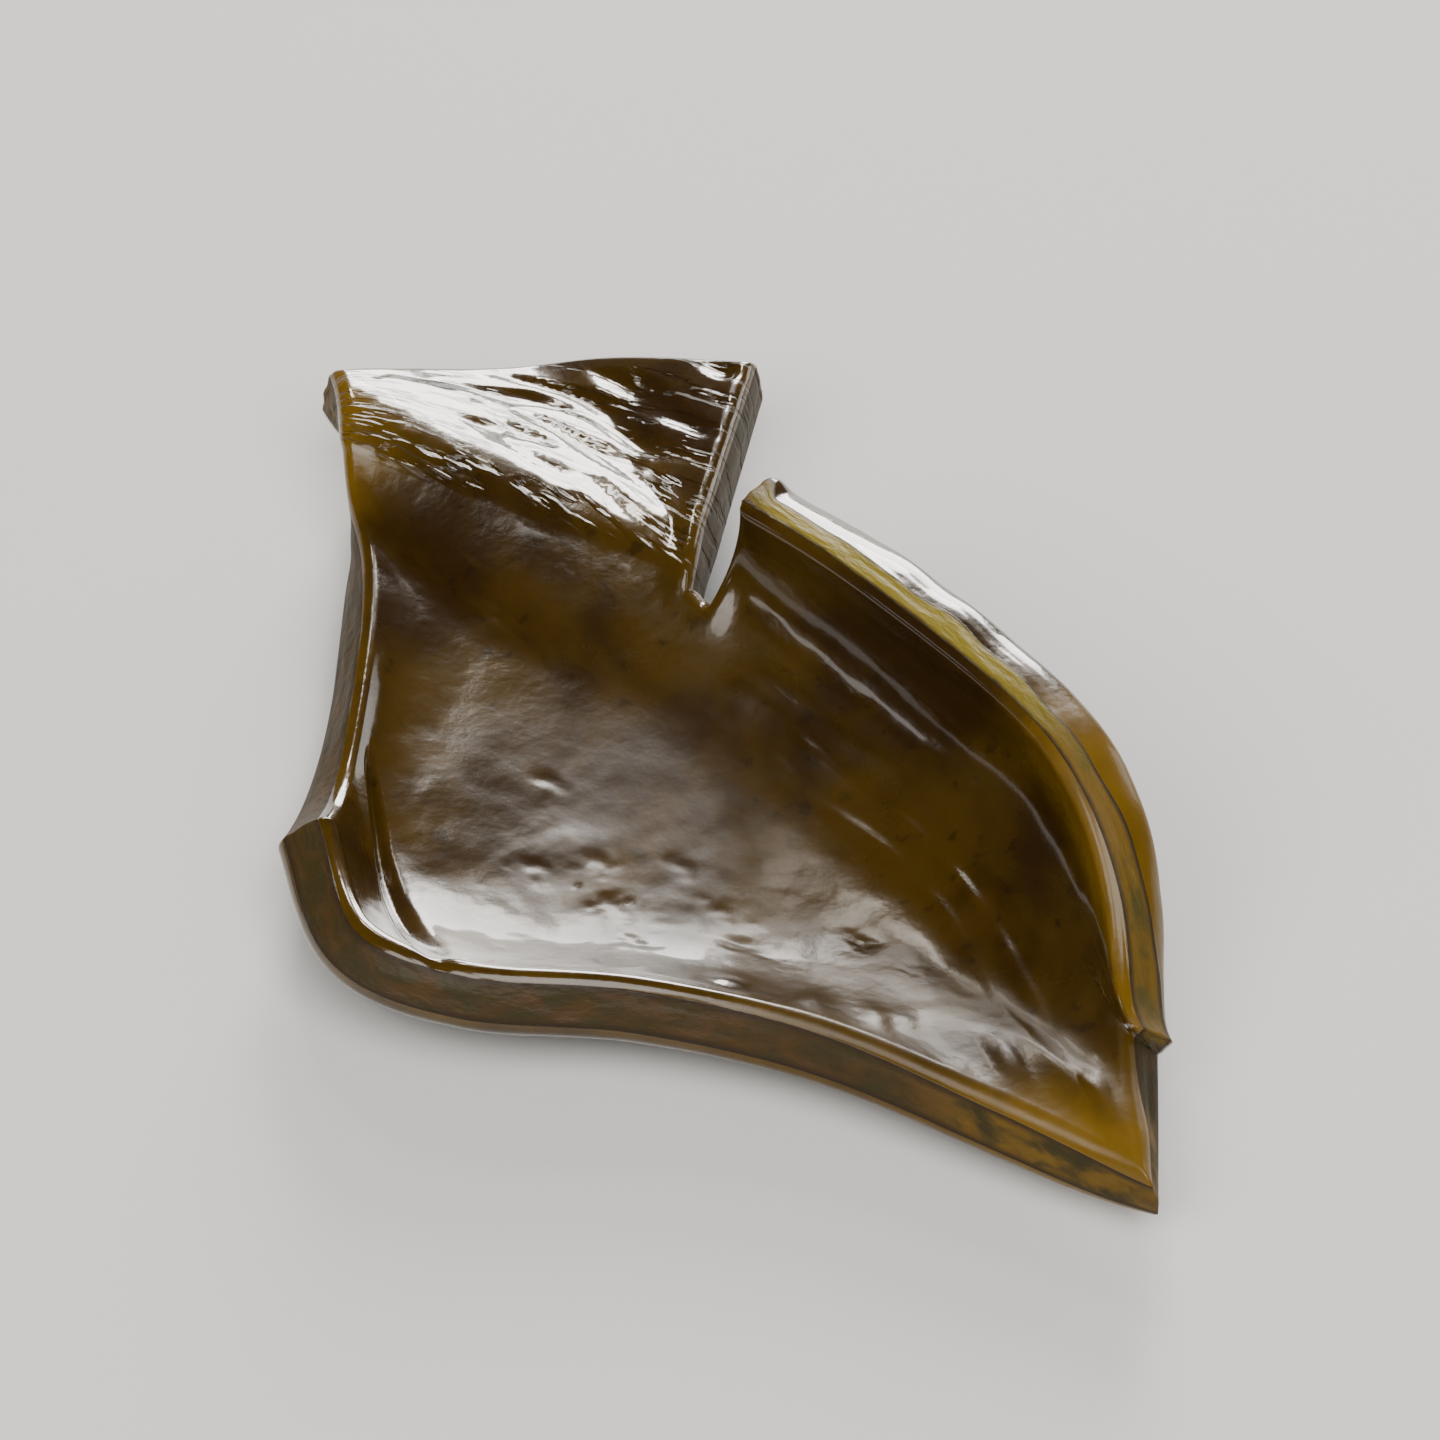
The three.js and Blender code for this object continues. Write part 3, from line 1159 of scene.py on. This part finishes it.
@dataclass(frozen=True)
class WetKelpSkin:
    """Finish of the slice: dark wet skin, a painted glow on the thin rims for light shining through
    them, and layered cut faces, painted paler on the flap for the back light falling on and through
    it.
    """

    # Skin: blotches of two browns, dark specks, lighter veins, and a painted glow where it is thin,
    # for light shining through it.
    dark: Colour = (0.020, 0.0088, 0.0006, 1.0)
    light: Colour = (0.044, 0.023, 0.0012, 1.0)
    speck: Colour = (0.010, 0.005, 0.0006, 1.0)
    # colour of the painted glow, for light shining through thin kelp
    amber: Colour = (0.122, 0.066, 0.0012, 1.0)
    blotches: Speckle = Speckle(4.5 * MM, 3.0, 0.3, ramp=Ramp(0.38, 0.66))
    specks: Speckle = Speckle(0.7 * MM, 3.0, ramp=Ramp(0.60, 0.72), share=0.55)
    veins: Speckle = Speckle((3.2, 0.7, 1.6), 4.0, 0.0, -0.8, Ramp(0.5, 0.72), 0.35)
    glow: Speckle = Speckle(1.3, 3.0, share=0.8)
    glow_share: float = 0.55
    glow_ramp: Ramp = Ramp(0.15, 1.0)

    # Cut faces: olive and pale flecks, painted much paler on the flap for the back light falling on
    # and through it, with a dark line under each skin.
    cut_pale: Colour = (0.046, 0.021, 0.002, 1.0)
    cut_olive: Colour = (0.024, 0.017, 0.001, 1.0)
    # painted light: the flap's cut face colour, far paler than the other cut faces, for the back
    # light falling on and through it
    painted_lit_flap_cut: Colour = (0.200, 0.152, 0.008, 1.0)
    cut_line: Colour = (0.018, 0.008, 0.001, 1.0)
    flecks: Speckle = Speckle((1.1, 1.1, 0.4), 4.0, 0.4)
    fleck_ramp: Ramp = Ramp(0.34, 0.66)
    painted_flap_light_share: float = 0.85
    painted_glow_ramp: Ramp = Ramp(0.55, 0.9)
    painted_glow_flecks: Ramp = Ramp(0.3, 0.6)
    painted_glow_share: float = 0.8
    line_waver: float = 0.35
    line_shift: float = 0.17
    line_ramp: Ramp = Ramp(0.55, 0.95)
    cut_ramp: Ramp = Ramp(0.965, 0.92)
    wall_ramp: Ramp = Ramp(0.97, 0.90)

    # Bumps, whose shares are heights in millimetres.
    pores: Speckle = Speckle(0.30 * MM, 3.0, share=0.010)
    dimples: Speckle = Speckle(1.1 * MM, share=0.020)
    streaks: Speckle = Speckle((2.2, 0.34, 1.0), 2.0, 0.0, -0.72, Ramp(0.50, 0.60), -0.11)
    fibres: Speckle = Speckle((0.5, 0.5, 0.15), 4.0, share=0.06)

    # Shine: a wet film over most of the skin, and the light that goes into it.
    patches: Speckle = Speckle(1.6 * MM, 3.0, 0.4, ramp=Ramp(0.35, 0.7), share=0.14)
    wet_roughness: float = 0.17
    dull_roughness: float = 0.27
    cut_roughness: float = 0.36
    dull_loss: float = 0.9
    ior: float = 1.38
    coat_roughness: float = 0.06
    coat_ior: float = 1.36
    scatter: float = 0.20
    scatter_radius: Triple = (1.0, 0.5, 0.08)
    scatter_scale: float = 1.0 * MM

    def skin_colour(self, tree: Tree) -> Value:
        """The colour of the skin.

        Args:
            tree: The material's nodes.

        Returns:
            The colour.
        """
        place, sheet = tree.place(), tree.trait(Trait.SHEET, "Vector")
        skin = tree.mix(tree.noise(place, self.blotches), self.dark, self.light)
        skin = tree.mix(tree.noise(place, self.specks), skin, self.speck)
        skin = tree.mix(tree.noise(sheet, self.veins), skin, self.light)
        # painted glow where the kelp is thin, for light shining through it
        glow = tree.trait(Trait.PAINTED_GLOW) * (tree.noise(sheet, self.glow) + self.glow_share)
        return tree.mix(glow.ramp(self.glow_ramp), skin, self.amber)

    def colour(self, tree: Tree) -> Value:
        """The colour of the skin and of the cut faces.

        Args:
            tree: The material's nodes.

        Returns:
            The colour.
        """
        side = tree.trait(Trait.DEPTH).math(Operation.ABSOLUTE)
        flecks = tree.noise(tree.trait(Trait.SHEET, "Vector"), self.flecks)
        cut = tree.mix(flecks.ramp(self.fleck_ramp), self.cut_olive, self.cut_pale)
        # painted light: the flap's cut face is painted paler, for the back light falling on and
        # through it
        on_flap = tree.trait(Trait.FLAP) * tree.trait(Trait.PAINTED_FLAP_LIGHT)
        cut = tree.mix(on_flap * self.painted_flap_light_share, cut, self.painted_lit_flap_cut)
        # painted glow on the thin cut faces, for light shining through them
        amber = tree.trait(Trait.PAINTED_GLOW).ramp(self.painted_glow_ramp) * flecks.ramp(self.painted_glow_flecks)
        cut = tree.mix(amber * self.painted_glow_share, cut, self.amber)
        line = side + flecks * self.line_waver - self.line_shift
        cut = tree.mix(line.ramp(self.line_ramp), cut, self.cut_line)
        return tree.mix(side.ramp(self.cut_ramp), self.skin_colour(tree), cut)

    def bump(self, tree: Tree, on_cut: Value) -> Value:
        """Pores, streaks on the tongue and fibres on the cut faces.

        Args:
            tree: The material's nodes.
            on_cut: 1 on the cut faces.

        Returns:
            The directions of the bumpy surface.
        """
        place, sheet = tree.place(), tree.trait(Trait.SHEET, "Vector")
        pores = tree.noise(place, self.pores) + tree.noise(place, self.dimples)
        streaks = tree.noise(sheet, self.streaks) * tree.trait(Trait.TONGUE)
        height = pores * (1.0 - on_cut) + streaks + tree.noise(sheet, self.fibres) * on_cut
        return tree.add("ShaderNodeBump", {}, {"Height": height, "Strength": 1.0, "Distance": MM})

    def material(self, name: str) -> bpy.types.Material:
        """Makes the material.

        Args:
            name: Name of the material.

        Returns:
            The material.
        """
        material = bpy.data.materials.new(name)
        tree = Tree(material)
        dull = tree.trait(Trait.DULL)
        on_cut = tree.trait(Trait.DEPTH).math(Operation.ABSOLUTE).ramp(self.wall_ramp)
        patches = tree.noise(tree.place(), self.patches)
        roughness = dull * self.dull_roughness + on_cut * self.cut_roughness
        roughness = roughness + patches * dull + self.wet_roughness
        film = tree.trait(Trait.WET) * (1.0 - dull * self.dull_loss) * (1.0 - on_cut)
        inputs = {
            "Base Color": self.colour(tree),
            "Roughness": roughness,
            "Normal": self.bump(tree, on_cut),
            "IOR": self.ior,
            "Subsurface Weight": self.scatter,
            "Subsurface Radius": self.scatter_radius,
            "Subsurface Scale": self.scatter_scale,
            "Coat Weight": film,
            "Coat Roughness": self.coat_roughness,
            "Coat IOR": self.coat_ior,
        }
        tree.surface(inputs)
        return material


@dataclass(frozen=True)
class KelpSlice:
    """The slice: one sheet with rounded rims, relief and a wet skin."""

    name: str = "kelp_skin"
    form: SheetForm = SheetForm()
    finish: WetKelpSkin = WetKelpSkin()
    # Millimetres over the floor between which the wrinkles underneath begin.
    floor_gap: Ramp = Ramp(0.0, 0.5)

    def raised(self, mesh: bpy.types.Mesh, at: SheetPlaces) -> Array:
        """Bends the block and raises its relief.

        Args:
            mesh: The block's mesh, which is bent on the way.
            at: The vertices' places.

        Returns:
            One (x, y, z) row in millimetres for each vertex.
        """
        points = Rims(self.form).bent(at)
        mesh.vertices.foreach_set("co", points.ravel())
        mesh.update()
        normals = np.empty(points.size)
        mesh.vertex_normals.foreach_get("vector", normals)
        height = Relief(self.form).height(at, self.floor_gap.at(points[:, 2]))
        return points + normals.reshape(-1, 3) * height[:, None]

    @staticmethod
    def centred(points: Array) -> Array:
        """Moves the slice to where its solid is.

        Args:
            points: One (x, y, z) row in millimetres for each vertex.

        Returns:
            The rows, centred on the node's box and not below the floor.
        """
        low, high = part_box(NODE)
        middle = (np.array(low[:2]) + np.array(high[:2])) / (2 * MM)
        points[:, :2] += middle - (points[:, :2].min(0) + points[:, :2].max(0)) / 2
        points[:, 2] = np.maximum(points[:, 2], 0.0)
        return points

    @staticmethod
    def describe(mesh: bpy.types.Mesh, traits: dict[Trait, Array]) -> None:
        """Keeps on the mesh what the finish follows.

        Args:
            mesh: The slice's mesh.
            traits: The values of each trait.
        """
        for trait, values in traits.items():
            kind, key = ("FLOAT", "value") if values.ndim == 1 else ("FLOAT_VECTOR", "vector")
            layer = mesh.attributes.new(trait.value, kind, "POINT")
            layer.data.foreach_set(key, values.astype(np.float32).ravel())

    def build(self) -> bpy.types.Object:
        """Makes the slice's fine mesh.

        Returns:
            The piece, without its finish.
        """
        grid = FineGrid(self.form)
        piece = grid.build(self.name)
        mesh = piece.data
        at = grid.places(piece)
        points = self.centred(self.raised(mesh, at))
        mesh.vertices.foreach_set("co", (points * MM).ravel())
        mesh.update()
        self.describe(mesh, SkinZones().traits(at))
        bpy.ops.object.select_all(action="DESELECT")
        piece.select_set(True)
        bpy.context.view_layer.objects.active = piece
        bpy.ops.object.shade_smooth()
        return piece

    def dress(self, piece: bpy.types.Object) -> None:
        """Gives the slice its finish, and says which solid it stands for.

        Args:
            piece: The slice.
        """
        piece.data.materials.append(self.finish.material("wet_kelp"))
        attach(piece, BODY)
        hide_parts(NODE)


@dataclass(frozen=True)
class SoftLight:
    """A soft box aimed at the slice.

    Args:
        name: Name of the light.
        azimuth: Degrees round from the camera's side, anticlockwise seen from above.
        elevation: Degrees above the floor.
        distance: Metres from the slice.
        size: Width and height in metres.
        power: Watts.
        colour: Its tint.
    """

    name: str
    azimuth: float
    elevation: float
    distance: float
    size: Pair
    power: float
    colour: Triple

    def build(self, centre: Vector) -> None:
        """Adds the light.

        Args:
            centre: The point that it faces.
        """
        a, e = math.radians(self.azimuth), math.radians(self.elevation)
        aim = Vector((math.sin(a) * math.cos(e), -math.cos(a) * math.cos(e), math.sin(e)))
        bpy.ops.object.light_add(type="AREA", location=centre + aim * self.distance)
        lamp = bpy.context.object
        lamp.name = self.name
        lamp.rotation_mode = "QUATERNION"
        lamp.rotation_quaternion = aim.to_track_quat("Z", "Y")
        lamp.data.shape = "RECTANGLE"
        lamp.data.size, lamp.data.size_y = self.size
        lamp.data.energy = self.power
        lamp.data.color = self.colour


@dataclass(frozen=True)
class Studio:
    """Pale floor, soft lights and the camera, whose picture is `framed` metres wide."""

    floor_size: float = 3.0
    floor_colour: Colour = (0.62, 0.62, 0.6138, 1.0)
    floor_roughness: float = 0.75
    camera_elevation: float = 45.0
    lens: float = 180.0
    sensor: float = 36.0
    framed: float = 0.042
    clip: Pair = (0.005, 10.0)
    sky_colour: Colour = (0.9, 0.95, 1.0, 1.0)
    sky_strength: float = 0.06
    lights: tuple[SoftLight, ...] = (
        SoftLight("window", 172.0, 13.0, 0.50, (0.23, 0.16), 2.6, (1.0, 0.97, 0.93)),
        SoftLight("back_fill", 175.0, 31.0, 0.60, (0.24, 0.15), 0.13, (1.0, 0.93, 0.84)),
        SoftLight("lip_band", 174.0, 26.0, 0.50, (0.12, 0.09), 1.20, (1.0, 0.95, 0.88)),
        SoftLight("basin_sheen", 188.0, 41.0, 0.60, (0.07, 0.07), 0.60, (1.0, 0.93, 0.82)),
        SoftLight("rim_light", 130.0, 13.0, 0.50, (0.08, 0.16), 0.16, (1.0, 0.98, 0.95)),
        SoftLight("flap_gleam", 281.0, 18.0, 0.50, (0.09, 0.03), 0.035, (1.0, 0.97, 0.92)),
        SoftLight("side_fill", 318.0, 45.0, 0.60, (0.35, 0.35), 2.5, (1.0, 0.96, 0.9)),
        SoftLight("front_fill", 22.0, 60.0, 0.70, (0.5, 0.5), 5.5, (1.0, 0.98, 0.95)),
    )

    def floor(self) -> None:
        """Adds the pale floor, which isn't part of the slice."""
        bpy.ops.object.select_all(action="DESELECT")
        bpy.ops.mesh.primitive_plane_add(size=self.floor_size, location=(0.0, 0.0, 0.0))
        floor = bpy.context.object
        floor.name = "floor"
        material = bpy.data.materials.new("pale_floor")
        inputs = {"Base Color": self.floor_colour, "Roughness": self.floor_roughness}
        Tree(material).surface(inputs)
        floor.data.materials.append(material)
        floor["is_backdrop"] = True

    def camera(self, centre: Vector) -> None:
        """Adds the camera at the photograph's viewing angle.

        Args:
            centre: The point that it faces.
        """
        e = math.radians(self.camera_elevation)
        back = Vector((0.0, -math.cos(e), math.sin(e)))
        distance = self.framed * self.lens / self.sensor
        bpy.ops.object.camera_add(location=centre + back * distance)
        camera = bpy.context.object
        camera.rotation_mode = "QUATERNION"
        camera.rotation_quaternion = back.to_track_quat("Z", "Y")
        camera.data.lens = self.lens
        camera.data.sensor_width = self.sensor
        camera.data.clip_start, camera.data.clip_end = self.clip
        bpy.context.scene.camera = camera

    def sky(self) -> None:
        """Sets the soft light from all round."""
        world = bpy.data.worlds.new("soft_sky")
        world.use_nodes = True
        background = world.node_tree.nodes["Background"]
        background.inputs["Color"].default_value = self.sky_colour
        background.inputs["Strength"].default_value = self.sky_strength
        bpy.context.scene.world = world

    def build(self, low: Vector, high: Vector) -> None:
        """Makes the floor, the lights, the camera and the sky.

        Args:
            low: Lowest corner of the slice's box.
            high: Highest corner of it.
        """
        centre = (low + high) / 2
        self.floor()
        for light in self.lights:
            light.build(centre)
        self.camera(centre)
        self.sky()


def main() -> None:
    """Builds the studio and the slice, and logs the slice's number of faces."""
    logging.basicConfig(level=logging.INFO, format="%(name)s: %(message)s")
    cad_low, cad_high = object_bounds()
    Studio().build(cad_low, cad_high)
    kelp = KelpSlice()
    piece = kelp.build()
    kelp.dress(piece)
    LOG.info("%s: %d faces", piece.name, len(piece.data.polygons))


if __name__ == "__main__":
    main()
